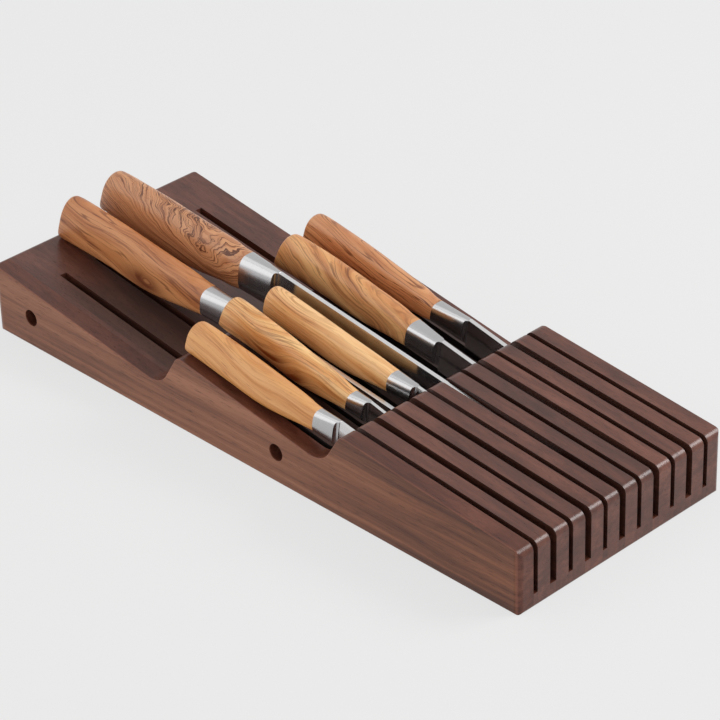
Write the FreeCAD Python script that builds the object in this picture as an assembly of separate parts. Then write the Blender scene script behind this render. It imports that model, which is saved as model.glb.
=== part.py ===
import FreeCAD, Part
import math
import os

os.makedirs("parts", exist_ok=True)
V = FreeCAD.Vector

# ---------------------------------------------------------------- block, all in mm
BLOCK_LENGTH = 400.0        # front end to back end
OUTER_STAVE = 10.5          # thickness of the two outside staves
INNER_STAVE = 8.9           # thickness of the ten staves between the slots
THIN_BLADE = 1.8            # thickness of the small blades
WIDE_BLADE = 2.5            # thickness of the large blades
THIN_PLAY = 0.6             # gap between a small blade and each slot wall
WIDE_PLAY = 0.95            # gap between a large blade and each slot wall
SLOT_COUNT = 11
SLOT_FLOOR = 8.0            # wood left under every slot
FRONT_HEIGHT = 37.2         # top of the front face
DECK_SLOPE = 0.0985         # rise of the slotted deck towards the back
FIRST_CREST = 122.6         # deck meets the first wall, from the front end
WALL_SLOPE = 1.6            # fall of both walls
FIRST_VALLEY = 136.6        # first wall meets the middle ramp
MIDDLE_SLOPE = 0.161        # rise of the middle ramp
SECOND_CREST = 245.5        # middle ramp meets the second wall
SECOND_VALLEY = 260.4       # second wall meets the back ramp
BACK_SLOPE = 0.147          # rise of the back ramp
CREST_RADIUS = 5.5
VALLEY_RADIUS = 15.0
BACK_VALLEY_RADIUS = 15.0
FRONT_TOP_RADIUS = 4.5
BACK_TOP_RADIUS = 3.0
BASE_RADIUS = 1.5
FRONT_CORNER = 3.5          # rounding of the upright edges at the front
BACK_CORNER = 6.0           # rounding of the upright edges at the back
EDGE_EASE = 0.8             # eased long edges of the outside staves
BACK_MARGIN = 32.0          # closed wood behind the wide slots
THIN_MARGIN = 59.5          # closed middle ramp behind the thin slots
SLOT_RUNOUT = 5.0           # length over which a slot floor climbs out
SOCKET_RADIUS = 4.9         # joining sockets in the near side
SOCKET_DEPTH = 8.0
SOCKET_HEIGHT = 18.5
FRONT_SOCKET = 170.5        # from the front end
BACK_SOCKET = 31.7          # from the back end

# ---------------------------------------------------------------- knives, all in mm
SECTION_POINTS = 32         # points round each oval section
JOINT_SQUARENESS = 2.8      # 2 is a plain oval, more is squarer
BACK_SQUARENESS = 2.2       # upper half of a handle
BELLY_SQUARENESS = 4.5      # lower half of a handle
# part of the handle's length, part of the growth from joint to belly in height and in width
HANDLE_GROWTH = ((0, 0, 0), (0.1, 0.27, 0.3), (0.25, 0.7, 0.68), (0.42, 0.98, 0.95), (0.6, 1, 1))
WAIST = 0.8                 # part of the handle's length where belly turns into butt
# distance from the butt's face, then cut back from the top, the bottom and each side
BUTT_ROUNDING = ((6.0, 0, 0, 0), (3.0, 0.3, 0, 0.05), (1.2, 0.9, 0.15, 0.25), (0.3, 1.7, 0.45, 0.6),
                 (0, 2.2, 0.75, 1.0))
SLANT_RUN = (0.6, 0.9)      # parts of the handle's length over which sections turn to the butt's slant
TANG_HEIGHT = 8.0
TANG_LENGTH = 62.0          # length of tang inside the handle
TANG_GAP = 0.05             # clearance round the tang
EDGE_THICKNESS = 0.4        # thickness left along the cutting edge
FLOOR_PLAY = 0.6            # least gap between an edge and the slot floor
RAMP_PLAY = 0.5             # least gap between a handle and its ramp
NECK_RELIEF = 0.25          # bolster left proud of the blade at the neck
BOLSTER_TAPER = 0.68        # width of a bolster's front, as part of its back
NECK_SCOOP = 2.2            # hollow between the bolster's front and the blade

# outline of each kind of edge: (part of blade length, part of blade height)
CHEF_EDGE = ((0, 1), (0.22, 0.99), (0.45, 0.92), (0.68, 0.72), (0.86, 0.42), (0.96, 0.17), (1, 0.04))
SLICER_EDGE = ((0, 1), (0.4, 0.98), (0.7, 0.92), (0.87, 0.72), (0.96, 0.35), (1, 0.05))
PARING_EDGE = ((0, 1), (0.35, 0.94), (0.65, 0.76), (0.86, 0.44), (0.96, 0.18), (1, 0.05))

# name, slot, station of the handle-to-bolster joint, its height over the second crest, tilt in degrees,
# joint height and width, handle length, belly height and width, butt height and width,
# crown of the back line, rise of the back line at the butt, slant of the butt in degrees,
# bolster length, rise of the spine, blade length, blade height, edge outline
KNIVES = (
    ("paring", 1, 150.2, -2.7, 10.1, 13.5, 8.7, 95.4, 19.6, 14.5, 20.3, 13.2, 0.7, -0.2, 9.4,
     15.5, 2.4, 88.0, 17.0, PARING_EDGE),
    ("steak", 3, 151.3, -3.2, 12.9, 11.6, 10.1, 96.0, 19.9, 12.8, 21.5, 12.4, 1.6, 1.1, 11.2,
     12.6, 2.4, 102.0, 17.0, SLICER_EDGE),
    ("slicer", 4, 274.6, 1.3, 7.4, 17.4, 13.5, 119.8, 28.1, 14.6, 30.0, 14.2, 2.0, 0.8, 11.8,
     20.0, 1.4, 196.0, 26.0, SLICER_EDGE),
    ("utility", 5, 146.6, -0.9, 10.3, 12.3, 10.7, 93.2, 18.6, 13.2, 19.2, 12.1, 0.2, -0.1, 4.8,
     17.3, 1.4, 118.0, 20.0, PARING_EDGE),
    ("chef", 6, 270.5, 10.7, 7.7, 23.0, 14.1, 115.4, 29.9, 17.0, 27.6, 15.7, 0.7, -2.7, 12.6,
     24.8, 1.4, 200.0, 43.0, CHEF_EDGE),
    ("santoku", 8, 169.3, 1.9, 10.7, 15.8, 13.0, 101.4, 22.1, 14.5, 23.7, 13.7, 2.2, -0.1, 14.1,
     20.7, 0.0, 138.0, 32.0, CHEF_EDGE),
    ("boning", 10, 176.8, 1.4, 11.8, 12.1, 10.0, 97.7, 21.1, 14.0, 19.2, 13.3, 2.1, 0.2, 7.1,
     23.3, 3.6, 138.0, 23.0, SLICER_EDGE),
)

# ---------------------------------------------------------------- derived sizes
THIN_SLOT = THIN_BLADE + 2 * THIN_PLAY
WIDE_SLOT = WIDE_BLADE + 2 * WIDE_PLAY
WIDE_SLOT_END = BLOCK_LENGTH - BACK_MARGIN
THIN_SLOT_END = SECOND_CREST - THIN_MARGIN
SOCKET_STATIONS = (FRONT_SOCKET, BLOCK_LENGTH - BACK_SOCKET)
SLOT_WIDTHS = [THIN_SLOT if n % 2 else WIDE_SLOT for n in range(1, SLOT_COUNT + 1)]
STAVE_WIDTHS = [OUTER_STAVE] + [INNER_STAVE] * (SLOT_COUNT - 1) + [OUTER_STAVE]
BLOCK_WIDTH = sum(SLOT_WIDTHS) + sum(STAVE_WIDTHS)
FIRST_CREST_Z = FRONT_HEIGHT + DECK_SLOPE * FIRST_CREST
FIRST_VALLEY_Z = FIRST_CREST_Z - WALL_SLOPE * (FIRST_VALLEY - FIRST_CREST)
SECOND_CREST_Z = FIRST_VALLEY_Z + MIDDLE_SLOPE * (SECOND_CREST - FIRST_VALLEY)
SECOND_VALLEY_Z = SECOND_CREST_Z - WALL_SLOPE * (SECOND_VALLEY - SECOND_CREST)
BACK_Z = SECOND_VALLEY_Z + BACK_SLOPE * (BLOCK_LENGTH - SECOND_VALLEY)


def fx(station):
    """Model x of a distance measured from the front end."""
    return BLOCK_LENGTH / 2 - station


def ramp_z(station):
    """Height of the top surface at a distance from the front end, corners left sharp."""
    if station < FIRST_CREST:
        return FRONT_HEIGHT + DECK_SLOPE * station
    if station < FIRST_VALLEY:
        return FIRST_CREST_Z - WALL_SLOPE * (station - FIRST_CREST)
    if station < SECOND_CREST:
        return FIRST_VALLEY_Z + MIDDLE_SLOPE * (station - FIRST_VALLEY)
    if station < SECOND_VALLEY:
        return SECOND_CREST_Z - WALL_SLOPE * (station - SECOND_CREST)
    return SECOND_VALLEY_Z + BACK_SLOPE * (station - SECOND_VALLEY)


def rounded_face(corners, y):
    """Face in the plane of the block's length and height, each corner rounded to its radius."""
    pts = [V(fx(s), y, z) for s, z, r in corners]
    radii = [r for s, z, r in corners]
    count = len(pts)
    starts, ends, mids = [], [], []
    for i in range(count):
        before = (pts[i - 1] - pts[i]).normalize()
        after = (pts[(i + 1) % count] - pts[i]).normalize()
        half = before.getAngle(after) / 2
        run = radii[i] / math.tan(half)
        starts.append(pts[i] + before * run)
        ends.append(pts[i] + after * run)
        bisector = (before + after).normalize()
        mids.append(pts[i] + bisector * (radii[i] / math.sin(half) - radii[i]))
    edges = []
    for i in range(count):
        if radii[i] > 0:
            edges.append(Part.Arc(starts[i], mids[i], ends[i]).toShape())
        edges.append(Part.LineSegment(ends[i], starts[(i + 1) % count]).toShape())
    return Part.Face(Part.Wire(edges))


BLOCK_CORNERS = [
    (0, 0, BASE_RADIUS),
    (0, FRONT_HEIGHT, FRONT_TOP_RADIUS),
    (FIRST_CREST, FIRST_CREST_Z, CREST_RADIUS),
    (FIRST_VALLEY, FIRST_VALLEY_Z, VALLEY_RADIUS),
    (SECOND_CREST, SECOND_CREST_Z, CREST_RADIUS),
    (SECOND_VALLEY, SECOND_VALLEY_Z, BACK_VALLEY_RADIUS),
    (BLOCK_LENGTH, BACK_Z, BACK_TOP_RADIUS),
    (BLOCK_LENGTH, 0, BASE_RADIUS),
]


def side_start(index):
    """Model y where stave number index begins, counted from 0 at the near side."""
    return -BLOCK_WIDTH / 2 + sum(STAVE_WIDTHS[:index]) + sum(SLOT_WIDTHS[:index])


def slot_centre(number):
    """Model y of the middle of a slot, slots numbered from 1 at the near side."""
    return side_start(number) - SLOT_WIDTHS[number - 1] / 2


def slab(y, width):
    """Full block outline with the given place and width across the block."""
    return rounded_face(BLOCK_CORNERS, y).extrude(V(0, width, 0))


def upright_rounding(body, outer_y):
    """Round the upright corners that an outside stave shows at the front and the back."""
    inner_y = outer_y - math.copysign(BLOCK_WIDTH / 2, outer_y)
    reach = math.copysign(1, outer_y)
    front, back = fx(0), fx(BLOCK_LENGTH)
    turn = math.sqrt(0.5)
    f, g = FRONT_CORNER, BACK_CORNER
    front_mid = V(front - f + f * turn, outer_y - reach * f * (1 - turn), -1)
    back_mid = V(back + g - g * turn, outer_y - reach * g * (1 - turn), -1)
    p = [V(front, inner_y, -1), V(front, outer_y - reach * f, -1), V(front - f, outer_y, -1),
         V(back + g, outer_y, -1), V(back, outer_y - reach * g, -1), V(back, inner_y, -1)]
    edges = [Part.LineSegment(p[0], p[1]).toShape(), Part.Arc(p[1], front_mid, p[2]).toShape(),
             Part.LineSegment(p[2], p[3]).toShape(), Part.Arc(p[3], back_mid, p[4]).toShape(),
             Part.LineSegment(p[4], p[5]).toShape(), Part.LineSegment(p[5], p[0]).toShape()]
    plan = Part.Face(Part.Wire(edges)).extrude(V(0, 0, FIRST_CREST_Z + BACK_Z))
    return body.common(plan)


def export(shape, name):
    """Write one solid as the STEP file of its node."""
    shape.Solids[0].exportStep("parts/" + name + ".step")


def stave(index):
    """One upright stave of the block, outside ones rounded and socketed."""
    y = side_start(index)
    body = slab(y, STAVE_WIDTHS[index])
    if index in (0, SLOT_COUNT):
        outer_y = y if index == 0 else y + STAVE_WIDTHS[index]
        body = eased(body, outer_y)
        body = upright_rounding(body, outer_y)
    if index == 0:
        for station in SOCKET_STATIONS:
            base = V(fx(station), y, SOCKET_HEIGHT)
            body = body.cut(Part.makeCylinder(SOCKET_RADIUS, SOCKET_DEPTH, base, V(0, 1, 0)))
    return body


def eased(body, outer_y):
    """Ease every edge round the outside face of an outside stave."""
    rim = [e for e in body.Edges
           if abs(e.BoundBox.YMin - outer_y) < 1e-6 and abs(e.BoundBox.YMax - outer_y) < 1e-6]
    return body.makeFillet(EDGE_EASE, rim)


def filler(number):
    """Strip between two staves: low under the slot, full height behind it."""
    width = SLOT_WIDTHS[number - 1]
    y = side_start(number) - width
    end = THIN_SLOT_END if number % 2 else WIDE_SLOT_END
    top = ramp_z(end)
    reach = max(FIRST_CREST_Z, BACK_Z, SECOND_CREST_Z) + 20
    lift = (reach - SLOT_FLOOR) / (top - SLOT_FLOOR) * SLOT_RUNOUT
    start = end - SLOT_RUNOUT
    outline = [(-10, SLOT_FLOOR), (start, SLOT_FLOOR), (start + lift, reach), (-10, reach)]
    pts = [V(fx(s), y, z) for s, z in outline]
    slot = Part.Face(Part.makePolygon(pts + pts[:1])).extrude(V(0, width, 0))
    return slab(y, width).cut(slot)


def section(s, top, low, width, upper, lower, lean=0, foot=0):
    """Closed oval wire across a knife at distance s along it, leaning forward above its foot."""
    half_height = (top - low) / 2
    pts = []
    for i in range(SECTION_POINTS):
        a = 2 * math.pi * (i + 0.5) / SECTION_POINTS
        power = upper if math.sin(a) > 0 else lower
        across = abs(math.cos(a)) / (width / 2)
        upward = abs(math.sin(a)) / half_height
        reach = (across ** power + upward ** power) ** (-1 / power)
        z = (top + low) / 2 + reach * math.sin(a)
        pts.append(V(s + (z - foot) * lean, reach * math.cos(a), z))
    knots = [i / SECTION_POINTS for i in range(SECTION_POINTS + 1)]
    curve = Part.BSplineCurve()
    curve.interpolate(Points=pts, PeriodicFlag=True, Parameters=knots)
    return Part.Wire(curve.toShape())


def tang_box(k, gap):
    """Flat bar running from the neck back into the handle."""
    half = k["thick"] / 2 + gap
    length = k["bolster"] + TANG_LENGTH + gap
    base = V(-TANG_LENGTH - gap, -half, -TANG_HEIGHT / 2 - gap)
    return Part.makeBox(length, 2 * half, TANG_HEIGHT + 2 * gap, base)


def handle_rows(k):
    """Distance back, top, bottom, width, two squarenesses, lean and foot of each section."""
    length = k["handle"]
    rows = []
    for f, grow_h, grow_w in HANDLE_GROWTH:
        high = k["joint_h"] + grow_h * (k["belly_h"] - k["joint_h"])
        wide = k["joint_w"] + grow_w * (k["belly_w"] - k["joint_w"])
        rows.append((f * length, high, wide, 0, 0, 0))
    high, wide = (k["belly_h"] + k["butt_h"]) / 2, (k["belly_w"] + k["butt_w"]) / 2
    rows.append((WAIST * length, high, wide, 0, 0, 0))
    for back, top_cut, low_cut, side_cut in BUTT_ROUNDING:
        rows.append((length - back, k["butt_h"], k["butt_w"], top_cut, low_cut, side_cut))
    result = []
    for d, high, wide, top_cut, low_cut, side_cut in rows:
        f = d / length
        top = k["joint_h"] / 2 + k["crown"] * 4 * f * (1 - f) + k["droop"] * f * f
        blend = min(1, f / HANDLE_GROWTH[-2][0])
        upper = JOINT_SQUARENESS + blend * (BACK_SQUARENESS - JOINT_SQUARENESS)
        lower = JOINT_SQUARENESS + blend * (BELLY_SQUARENESS - JOINT_SQUARENESS)
        turned = (f - SLANT_RUN[0]) / (SLANT_RUN[1] - SLANT_RUN[0])
        lean = math.tan(math.radians(k["slant"])) * max(0, min(1, turned))
        shape = (top - top_cut, top - high + low_cut, wide - 2 * side_cut, upper, lower, lean, top - high)
        result.append((d,) + shape)
    return result


def handle(k):
    """Oval handle lofted from the joint to the butt."""
    wires = [section(-row[0], *row[1:]) for row in handle_rows(k)]
    return Part.makeLoft(wires, True, False).cut(tang_box(k, TANG_GAP))


def seated_height(k):
    """Height of the joint, lifted where the handle or the edge would touch the block."""
    turn = math.radians(k["tilt"])
    height = k["over_crest"] + SECOND_CREST_Z
    lift = 0
    for d, top, low, *shape in handle_rows(k):
        z = height + d * math.sin(turn) + low * math.cos(turn)
        station = k["station"] + d * math.cos(turn) - low * math.sin(turn)
        lift = max(lift, ramp_z(station) + RAMP_PLAY - z)
    for f, h in k["edge"]:
        s = k["bolster"] + f * k["blade"]
        v = k["joint_h"] / 2 + k["rise"] - h * k["blade_h"]
        z = height - s * math.sin(turn) + v * math.cos(turn)
        lift = max(lift, SLOT_FLOOR + FLOOR_PLAY - z)
    return height + lift


def bolster(k):
    """Steel collar, matching the handle at the joint and scooped down to the blade at the neck."""
    length, half = k["bolster"], k["joint_h"] / 2
    wires = []
    for f in (0, 0.35, 0.7, 1):
        wide = k["joint_w"] * (1 - (1 - BOLSTER_TAPER) * f)
        top = half + k["rise"] * f
        wires.append(section(f * length, top, -half, wide, JOINT_SQUARENESS, JOINT_SQUARENESS))
    body = Part.makeLoft(wires, True, False)
    neck = k["thick"] / 2 + NECK_RELIEF
    deep = 2 * k["joint_h"]
    for side in (1, -1):
        axis = V(length, side * (neck + NECK_SCOOP), -deep)
        body = body.cut(Part.makeCylinder(NECK_SCOOP, 2 * deep, axis, V(0, 0, 1)))
        corner = V(length - NECK_SCOOP, min(axis.y, axis.y + side * k["joint_w"]), -deep)
        body = body.cut(Part.makeBox(2 * NECK_SCOOP, k["joint_w"], 2 * deep, corner))
    return body.cut(tang_box(k, TANG_GAP))


def blade(k):
    """Tapered blade with its tang in one piece."""
    start, length, high = k["bolster"], k["blade"], k["blade_h"]
    top = k["joint_h"] / 2 + k["rise"]
    edge_points = [V(start + f * length, 0, top - h * high) for f, h in k["edge"]]
    low = Part.BSplineCurve()
    low.interpolate(Points=edge_points)
    spine = V(start + 0.6 * length, 0, top)
    heel_top = V(start, 0, top)
    edges = [low.toShape()]
    for p, q in ((edge_points[-1], spine), (spine, heel_top), (heel_top, edge_points[0])):
        edges.append(Part.LineSegment(p, q).toShape())
    face = Part.Face(Part.Wire(edges))
    half = k["thick"] / 2
    face.translate(V(0, -half, 0))
    plate = face.extrude(V(0, 2 * half, 0))
    keep = 0.3 * high
    rows = [(half, top + 1), (half, top - keep), (EDGE_THICKNESS / 2, top - high - 0.5)]
    ring = [V(start - 1, y, z) for y, z in rows] + [V(start - 1, -y, z) for y, z in reversed(rows)]
    wedge = Part.Face(Part.makePolygon(ring + ring[:1])).extrude(V(length + 2, 0, 0))
    return plate.common(wedge).fuse(tang_box(k, 0)).removeSplitter()


KEYS = ("name", "slot", "station", "over_crest", "tilt", "joint_h", "joint_w", "handle", "belly_h",
        "belly_w", "butt_h", "butt_w", "crown", "droop", "slant", "bolster", "rise", "blade",
        "blade_h", "edge")

for index in range(SLOT_COUNT + 1):
    export(stave(index), "stave_%02d" % (index + 1))
for number in range(1, SLOT_COUNT + 1):
    export(filler(number), "slot_strip_%02d" % number)
for row in KNIVES:
    k = dict(zip(KEYS, row))
    k["thick"] = THIN_BLADE if k["slot"] % 2 else WIDE_BLADE
    place = V(fx(k["station"]), slot_centre(k["slot"]), seated_height(k))
    for piece, maker in (("handle", handle), ("bolster", bolster), ("blade", blade)):
        shape = maker(k)
        shape.rotate(V(0, 0, 0), V(0, 1, 0), k["tilt"])
        shape.translate(place)
        export(shape, k["name"] + "_" + piece)
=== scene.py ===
import math

import bpy
import numpy as np
from mathutils import Matrix, Vector


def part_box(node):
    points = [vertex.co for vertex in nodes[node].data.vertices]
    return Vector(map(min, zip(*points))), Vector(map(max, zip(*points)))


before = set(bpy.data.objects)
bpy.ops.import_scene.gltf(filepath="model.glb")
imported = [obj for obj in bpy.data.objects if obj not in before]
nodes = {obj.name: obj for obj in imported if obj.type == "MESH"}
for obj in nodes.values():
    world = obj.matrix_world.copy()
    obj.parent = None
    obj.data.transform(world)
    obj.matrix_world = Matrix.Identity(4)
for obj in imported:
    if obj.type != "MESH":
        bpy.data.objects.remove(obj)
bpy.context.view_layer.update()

scene = bpy.context.scene


# ------------------------------------------------------------------ shader sockets as numbers
class Val:
    """A shader socket that adds, multiplies and compares like a number."""

    def __init__(self, tree, socket):
        self.tree, self.socket = tree, socket

    def node(self, kind, out=0, **given):
        """Any other node; settings by name, inputs by name or as _0, _1 and so on."""
        made = self.tree.nodes.new(kind)
        for key, value in given.items():
            if key[0] != "_" and hasattr(made, key):
                setattr(made, key, value)
        for key, value in given.items():
            if key[0] == "_":
                slot = int(key[1:]) if key[1:].isdigit() else key[1:].replace("_", " ")
                put(self.tree, made.inputs[slot], value)
        return Val(self.tree, made.outputs[out])

    def math(self, operation, *others):
        made = self.tree.nodes.new("ShaderNodeMath")
        made.operation = operation
        for slot, value in zip(made.inputs, (self, *others)):
            put(self.tree, slot, value)
        return Val(self.tree, made.outputs[0])

    def __add__(self, o): return self.math("ADD", o)
    def __sub__(self, o): return self.math("SUBTRACT", o)
    def __mul__(self, o): return self.math("MULTIPLY", o)
    def __neg__(self): return self * -1.0
    def __rsub__(self, o): return -self + o
    __radd__, __rmul__ = __add__, __mul__

    def clamp(self):
        return self.math("MINIMUM", 1.0).math("MAXIMUM", 0.0)

    def step(self, low, high):
        """0 below low, 1 above high, smooth between."""
        t = ((self - low) * (1.0 / (high - low))).clamp()
        return t * t * (3.0 - 2.0 * t)

    def noise(self, detail, rough):
        """Smooth noise from 0 to 1 of a vector."""
        return self.node("ShaderNodeTexNoise", _Vector=self, _Scale=1.0, _Detail=detail, _Roughness=rough)

    def between(self, rise, fall):
        """0 outside, 1 inside, smooth over the two ends rise and fall."""
        return self.step(*rise) * (1.0 - self.step(*fall))

    def tint(self, a, b):
        """Colour a where this is 0, colour b where it is 1."""
        return self.node("ShaderNodeMix", 2, data_type="RGBA", clamp_factor=True, _0=self, _6=a, _7=b)


def put(tree, slot, value):
    """Link a Val to a socket, or set the socket's number or colour."""
    if isinstance(value, Val):
        tree.links.new(value.socket, slot)
    elif isinstance(value, tuple) and len(value) == 3 and slot.type == "RGBA":
        slot.default_value = (*value, 1.0)
    else:
        slot.default_value = value


def srgb(r, g, b):
    """Linear colour of an 8-bit screen colour."""
    return tuple(((c / 255 + 0.055) / 1.055) ** 2.4 if c > 10 else c / 3295 for c in (r, g, b))


def begin(name):
    """New material with one Principled surface; gives it, its surface node and a position vector."""
    mat = bpy.data.materials.new(name)
    mat.use_nodes = True
    tree = mat.node_tree
    tree.nodes.clear()
    out = tree.nodes.new("ShaderNodeOutputMaterial")
    surf = tree.nodes.new("ShaderNodeBsdfPrincipled")
    tree.links.new(surf.outputs[0], out.inputs[0])
    where = Val(tree, tree.nodes.new("ShaderNodeTexCoord").outputs["Object"])
    return mat, surf, where


def finish_surface(surf, bump, height, distance, **given):
    """Set the surface's inputs by name and give it a bump of a height field."""
    tree = surf.id_data
    for key, value in given.items():
        put(tree, surf.inputs[key.replace("_", " ")], value)
    if bump:
        relief = height.node("ShaderNodeBump", _Strength=bump, _Distance=distance, _Height=height)
        put(tree, surf.inputs["Normal"], relief)


def axes(where, shift, scale):
    """Position moved by shift and stretched by scale, each a triple."""
    return where.node("ShaderNodeMapping", vector_type="POINT", _0=where, _1=shift, _3=scale)


def joined(x, y, z):
    """Vector of three numbers, the first of them a Val."""
    return x.node("ShaderNodeCombineXYZ", _0=x, _1=y, _2=z)


def along(where, origin, tilt):
    """Position seen from a knife's own origin, turned to its tilt."""
    return where.node("ShaderNodeMapping", vector_type="TEXTURE", _0=where, _1=origin, _2=(0.0, tilt, 0.0))


def drawn(seed):
    """Three fixed random shifts."""
    return tuple(float(v) for v in np.random.default_rng(seed).uniform(-3, 3, 3))


def scaled(colour, factor):
    """A colour made darker or lighter."""
    return tuple(c * factor for c in colour)


def split(where):
    """x, y and z of a vector."""
    made = where.tree.nodes.new("ShaderNodeSeparateXYZ")
    put(where.tree, made.inputs[0], where)
    return [Val(where.tree, o) for o in made.outputs]


# ------------------------------------------------------------------ woods
# Metres in the frame the parts share; each pair is where a shade starts to change and where it ends.
SIDE_SKIN = (-0.0749, -0.0744)
# PAINTED_HIGHLIGHT_EDGE bounds the painted highlight line along the near face's edges
PAINTED_HIGHLIGHT_EDGE = ((-0.07495, -0.0747), (-0.0744, -0.0740))
SIDE_DARKER_FRONT = (0.0, 0.16)
# RECESS to SKIN_DEEP bound the painted shade in the recess under the collars and on the slot walls, and the
# painted shadow of the knives on the back ramp
RECESS = ((-0.046, -0.03), (0.066, 0.076))
RECESS_TOP = (0.041, 0.0435)
BACK_RAMP = ((-0.2, -0.13), (-0.075, -0.06))
RAMP_ACROSS = ((-0.0749, -0.0740), (0.05, 0.072))
FAR_FADE = (0.05, 0.072)
SLOT_START = (-0.05, -0.03)
SKIN, SKIN_DEEP = 0.00005, 0.0002


def three(tone, tones):
    """Dark, middle and light colour along a tone from 0 to 1."""
    dark, mid, light = tones
    return tone.step(0.45, 0.9).tint(tone.step(0.15, 0.6).tint(dark, mid), light)


def walnut(name, seed, tones, box, recess_shade=0.0, ramp_shadow=0.0, gloss=0.5, side=None, walls=(True, True)):
    """Oiled walnut with its grain along x.

    Tone = broad soft streaks stretched along the grain + finer streaks + fibres; pores are short dashes.
    Painted shade darkens the recess that the collars lie in (deep) and the near and far slot walls (walls);
    painted shadow of the knives darkens the back ramp (behind). side gives other tones for the outer near
    face, darker towards its front end, with a painted highlight line along its edges.
    """
    mat, surf, where = begin(name)
    shift = drawn(seed)
    dark, _, light = tones
    wavy = axes(where, shift, (7.0, 30.0, 30.0)).noise(2.0, 0.5) - 0.5
    x, y, z = split(where)
    bent = joined(x, y + wavy * 0.008, z + wavy * 0.010)
    broad = axes(bent, shift, (3.5, 60.0, 110.0)).noise(3.0, 0.55)
    streak = axes(bent, shift, (8.0, 300.0, 420.0)).noise(3.0, 0.6)
    fibre = axes(bent, shift, (45.0, 2200.0, 2200.0)).noise(2.0, 0.6)
    pores = axes(bent, shift, (120.0, 1700.0, 1700.0)).noise(1.0, 0.5).step(0.62, 0.7)
    tone = (broad * 0.85 + streak * 0.6 + fibre * 0.25 - 0.35).clamp()
    colour = three(tone, tones)
    # Outer near face: its own tones, darker towards its front end
    if side:
        side_tone = (tone + 0.1 - 0.24 * x.step(*SIDE_DARKER_FRONT)).clamp()
        colour = y.step(*SIDE_SKIN).tint(three(side_tone, side), colour)
    colour = (pores * 0.45).tint(colour, scaled(dark, 0.45))
    # Painted highlight: a pale line along the near face's edges
    if side:
        painted_edge_highlight = y.between(*PAINTED_HIGHLIGHT_EDGE) * (0.15 + 0.4 * streak)
        colour = painted_edge_highlight.tint(colour, scaled(light, 1.5))
    # Painted shade in the recess under the collars and on the slot walls, and painted shadow of the knives
    # on the back ramp: these turn the colour towards near-black walnut
    recess = x.between(*RECESS) * (1.0 - z.step(*RECESS_TOP)) * (1.0 - y.step(*FAR_FADE))
    ramp = x.between(*BACK_RAMP) * y.between(*RAMP_ACROSS)
    painted_shade = recess * recess_shade + ramp * ramp_shadow
    near, far = box[0][1], box[1][1]
    inside = x.step(*SLOT_START) * 0.55
    if walls[0]:
        painted_shade = painted_shade + (1.0 - y.step(near + SKIN, near + SKIN_DEEP)) * inside
    if walls[1]:
        painted_shade = painted_shade + y.step(far - SKIN_DEEP, far - SKIN) * inside
    painted_shade = painted_shade.clamp()
    colour = painted_shade.tint(colour, scaled(dark, 0.12))
    height = fibre * 0.4 + streak * 0.3 - pores * 0.8
    finish_surface(surf, 0.22, height, 0.0001, Base_Color=colour, Specular_IOR_Level=gloss,
                   Roughness=0.21 + 0.1 * streak + 0.08 * fibre + 0.15 * pores + 0.3 * painted_shade)
    return mat


def olive(name, seed, origin, tilt, dark, mid, light, spacing, warp, swirl, lean, strength, eye):
    """Oiled olive wood with growth lines along the handle's own axis.

    Level = height in the handle, leaning along it, bent by slow noise (warp) and quick noise (swirl) and
    pushed aside round an eye by a bell exp(-d^2). Bands are noise of level over spacing, so they follow the
    level's contours with uneven gaps; thin lines lie where a finer such noise crosses one half.
    """
    mat, surf, where = begin(name)
    turned = along(where, origin, tilt)
    shift = drawn(seed)
    x, y, z = split(turned)
    slow = axes(turned, shift, (16.0, 34.0, 34.0)).noise(1.5, 0.45) - 0.5
    quick = axes(turned, shift, (60.0, 110.0, 110.0)).noise(2.5, 0.55) - 0.5
    ex, ez, wide, high, push, shade = eye
    off_x, off_z = (x - ex) * (1.0 / wide), (z - ez) * (1.0 / high)
    square = (off_x * off_x + off_z * off_z) * -1.0
    bell = square.node("ShaderNodeMath", operation="POWER", _0=2.718, _1=square)
    level = (z + y * 0.35 + x * lean + slow * warp + quick * swirl + bell * push) * (1.0 / spacing)
    band = joined(x * 9.0 + shift[0], y * 14.0, level + shift[2]).noise(4.0, 0.6)
    thin = joined(x * 14.0 + shift[1], y * 24.0, level * 1.7).noise(2.0, 0.55)
    ridge = 1.0 - (thin - 0.5).math("ABSOLUTE").step(0.004, 0.035)
    patch = axes(turned, shift, (13.0, 60.0, 75.0)).noise(2.0, 0.5).step(0.36, 0.62)
    fibre = axes(turned, shift, (55.0, 1500.0, 1500.0)).noise(2.0, 0.6)
    pores = axes(turned, shift, (200.0, 1600.0, 1600.0)).noise(1.0, 0.5).step(0.66, 0.74)
    colour = (band.step(0.36, 0.62) * 0.8 + fibre * 0.4 - 0.1).clamp().tint(mid, light)
    lines = (1.0 - band.step(0.3, 0.43)) * 0.5 + ridge * (0.3 + 0.6 * patch)
    colour = (lines * strength).clamp().tint(colour, dark)
    # Darkening round the eye: dark figure in the wood on most handles; on the santoku, whose eye lies at
    # the handle's lower edge, painted shade
    knot_and_painted_shade = bell * shade * (0.5 + 0.8 * (1.0 - thin.step(0.35, 0.6)))
    colour = knot_and_painted_shade.clamp().tint(colour, dark)
    colour = (pores * 0.3).tint(colour, dark)
    height = fibre * 0.45 - lines * 0.04 - pores * 0.6
    finish_surface(surf, 0.18, height, 0.0001, Base_Color=colour, Specular_IOR_Level=0.5,
                   Roughness=0.26 + 0.12 * fibre + 0.12 * lines)
    return mat


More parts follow.
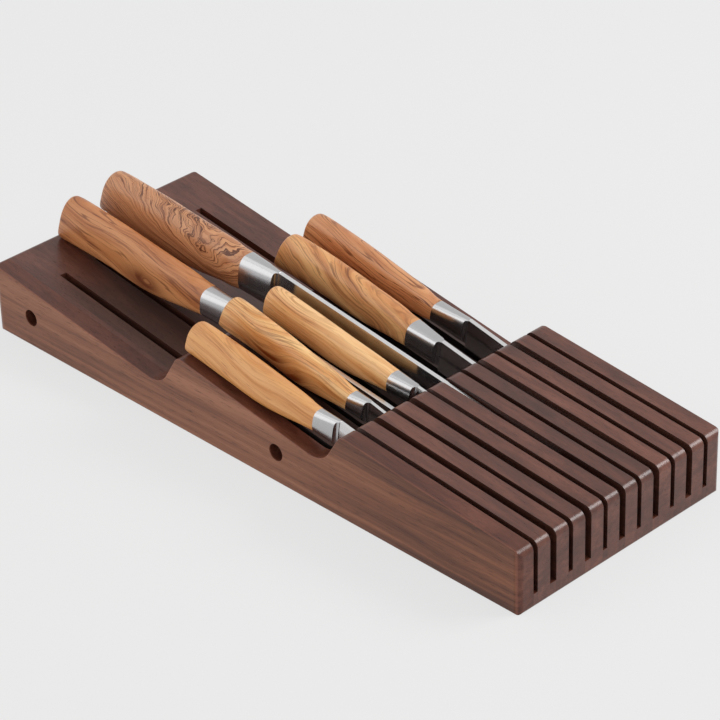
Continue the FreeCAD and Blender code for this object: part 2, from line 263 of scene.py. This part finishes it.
# ------------------------------------------------------------------ steels
def steel(name, colour, rough, brush, bump, origin, tilt):
    """Polished steel with fine lines along or across it, as bump, roughness and a little shade."""
    mat, surf, where = begin(name)
    turned = along(where, origin, tilt)
    scratch = axes(turned, (0.3, 0.1, 0.7), brush).noise(3.0, 0.65)
    cloud = axes(turned, (1.3, 2.1, 0.2), (60.0, 60.0, 60.0)).noise(2.0, 0.5)
    shade = (scratch * 0.6 + cloud * 0.4).tint(scaled(colour, 0.84), colour)
    finish_surface(surf, bump, scratch, 0.00005, Base_Color=shade, Metallic=1.0,
                   Roughness=rough + 0.08 * scratch + 0.05 * cloud)
    return mat


def dress(name, mat):
    """Give a node one material."""
    obj = nodes[name]
    obj.data.materials.clear()
    obj.data.materials.append(mat)


# ------------------------------------------------------------------ block
WALNUT = (srgb(64, 32, 23), srgb(96, 53, 40), srgb(124, 76, 60))
NEAR_SIDE = (srgb(76, 38, 22), srgb(124, 75, 50), srgb(158, 105, 78))
# one number for each stave, from the near side
SHADES = (1.0, 0.96, 1.03, 0.94, 1.06, 0.98, 1.0, 0.93, 1.05, 0.96, 1.02, 0.98)
# RECESS_PAINTED_SHADE: painted shade in the recess under the collars; RAMP_PAINTED_SHADOW: painted shadow
# of the knives on the back ramp, with a slight darkening of the whole ramp
RECESS_PAINTED_SHADE = (0.0, 0.55) + (0.78,) * 10
RAMP_PAINTED_SHADOW = (0.3, 0.55, 0.6, 0.6, 0.55, 0.45, 0.3, 0.25, 0.2, 0.2, 0.2, 0.2)
for i, shade in enumerate(SHADES):
    name = "stave_%02d" % (i + 1)
    tones = [scaled(tone, shade) for tone in WALNUT]
    gloss, side = (0.5, None) if i else (0.35, NEAR_SIDE)
    dress(name, walnut("walnut " + name, 11 + i, tones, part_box(name), RECESS_PAINTED_SHADE[i], RAMP_PAINTED_SHADOW[i],
                       gloss, side, (i > 0, i < 11)))
for i in range(11):
    name = "slot_strip_%02d" % (i + 1)
    dress(name, walnut("walnut " + name, 51 + i, WALNUT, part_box(name), RECESS_PAINTED_SHADE[i + 1], RAMP_PAINTED_SHADOW[i],
                       walls=(False, False)))

# ------------------------------------------------------------------ knives
# name, tilt in degrees; dark, middle and light colour;
# line spacing, slow bend, quick bend, lean, line strength; eye: along, up, length, height, push, shade
KNIVES = (
    ("paring", 10.1, srgb(160, 90, 42), srgb(208, 140, 78), srgb(230, 170, 108),
     0.0040, 0.012, 0.0008, 0.03, 0.6, (-0.03, -0.004, 0.02, 0.004, 0.002, 0.0)),
    ("steak", 12.9, srgb(132, 64, 20), srgb(220, 150, 84), srgb(252, 208, 146),
     0.0050, 0.024, 0.0014, -0.12, 0.8, (-0.056, -0.010, 0.026, 0.008, 0.007, 1.3)),
    ("slicer", 7.4, srgb(112, 56, 26), srgb(180, 110, 62), srgb(208, 142, 90),
     0.0050, 0.020, 0.0012, 0.05, 0.85, (-0.055, -0.009, 0.014, 0.006, 0.008, 0.9)),
    ("utility", 10.3, srgb(166, 100, 48), srgb(226, 162, 98), srgb(252, 206, 148),
     0.0038, 0.012, 0.0008, 0.02, 0.7, (-0.02, -0.004, 0.02, 0.004, 0.002, 0.0)),
    ("chef", 7.7, srgb(100, 54, 30), srgb(178, 114, 74), srgb(222, 162, 116),
     0.0011, 0.022, 0.0040, 0.0, 1.5, (-0.048, -0.004, 0.060, 0.020, 0.030, 0.15)),
    # santoku: its dark eye at the handle's lower edge is painted shade
    ("santoku", 10.7, srgb(108, 54, 24), srgb(204, 134, 80), srgb(240, 182, 120),
     0.0050, 0.030, 0.0030, 0.3, 0.85, (-0.070, -0.015, 0.040, 0.008, 0.006, 1.3)),
    ("boning", 11.8, srgb(112, 58, 32), srgb(190, 122, 78), srgb(224, 162, 112),
     0.0034, 0.010, 0.0006, 0.02, 1.1, (-0.02, -0.004, 0.02, 0.004, 0.002, 0.0)),
)
# colour, least roughness, fineness of the lines along the knife, across it and up it, bump
COLLAR = ((0.55, 0.545, 0.55), 0.19, (1100.0, 30.0, 30.0), 0.008)
BLADE = ((0.78, 0.77, 0.77), 0.13, (1300.0, 1300.0, 40.0), 0.02)
for i, (name, tilt, dark, mid, light, *figure) in enumerate(KNIVES):
    low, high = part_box(name + "_bolster")
    origin = tuple((a + b) / 2 for a, b in zip(low, high))
    turn = math.radians(tilt)
    dress(name + "_handle", olive("olive " + name, 101 + i, origin, turn, dark, mid, light, *figure))
    dress(name + "_bolster", steel("collar steel " + name, *COLLAR, origin, turn))
    dress(name + "_blade", steel("blade steel " + name, *BLADE, origin, turn))

# ------------------------------------------------------------------ stage, light and camera
BACKDROP = srgb(235, 235, 235)
FLOOR_SIZE, FLOOR_EVEN = 8, 0.82
WORLD_LIGHT, WORLD_MORE_SEEN = 0.54, 0.295


def seen(tree):
    """1 for rays that show the background directly or in a sheen, 0 for rays that light things."""
    path = tree.nodes.new("ShaderNodeLightPath")
    kinds = ("Is Camera Ray", "Is Glossy Ray", "Is Transmission Ray")
    rays = [Val(tree, path.outputs[kind]) for kind in kinds]
    return (rays[0] + rays[1] + rays[2]).clamp()


def floor():
    """Pale floor that keeps a faint shadow: mostly its own even tone where it is seen."""
    mesh = bpy.data.meshes.new("floor")
    corners = [(x * FLOOR_SIZE, y * FLOOR_SIZE, 0) for x, y in ((-1, -1), (1, -1), (1, 1), (-1, 1))]
    mesh.from_pydata(corners, [], [(0, 1, 2, 3)])
    obj = bpy.data.objects.new("floor", mesh)
    scene.collection.objects.link(obj)
    mat, surf, where = begin("pale floor")
    finish_surface(surf, 0, None, 0, Base_Color=BACKDROP, Roughness=0.9, Specular_IOR_Level=0.0)
    tree = mat.node_tree
    even = where.node("ShaderNodeEmission", _0=BACKDROP, _1=1.0)
    both = tree.nodes.new("ShaderNodeMixShader")
    put(tree, both.inputs[0], seen(tree) * FLOOR_EVEN)
    tree.links.new(surf.outputs[0], both.inputs[1])
    tree.links.new(even.socket, both.inputs[2])
    tree.links.new(both.outputs[0], tree.nodes["Material Output"].inputs[0])
    mesh.materials.append(mat)


def area(name, place, aim, size, power):
    """Soft rectangular light at a place, aimed at a point."""
    data = bpy.data.lights.new(name, "AREA")
    data.shape, data.size, data.size_y = "RECTANGLE", size[0], size[1]
    data.energy = power
    obj = bpy.data.objects.new(name, data)
    scene.collection.objects.link(obj)
    obj.location = place
    obj.rotation_euler = (Vector(aim) - Vector(place)).to_track_quat("-Z", "Y").to_euler()


floor()
world = bpy.data.worlds.new("studio")
scene.world = world
world.use_nodes = True
sky = world.node_tree.nodes["Background"]
sky.inputs[0].default_value = (1, 1, 1, 1)
put(world.node_tree, sky.inputs[1], WORLD_LIGHT + WORLD_MORE_SEEN * seen(world.node_tree))
area("far softbox", (0.92, 1.05, 1.08), (0.1, 0, 0), (0.75, 0.75), 16.0)
area("back softbox", (-1.1, -0.28, 1.32), (0, 0, 0), (1.1, 1.1), 2.2)
area("near softbox", (-0.6, -1.9, 0.8), (0, 0, 0), (2.9, 2.1), 15.0)

lens = bpy.data.cameras.new("camera")
lens.sensor_width, lens.lens = 36.0, 156.1
camera = bpy.data.objects.new("camera", lens)
scene.collection.objects.link(camera)
right = Vector((0.70065919, 0.71294819, -0.02795671))
down = Vector((0.35753641, -0.38474233, -0.85096478))
ahead = Vector((-0.61744992, 0.58624075, -0.52447819))
pose = Matrix((right, -down, -ahead)).transposed().to_4x4()
pose.translation = (1.03348, -0.96646, 0.89921)
camera.matrix_world = pose
scene.camera = camera
scene.view_settings.view_transform = "Standard"
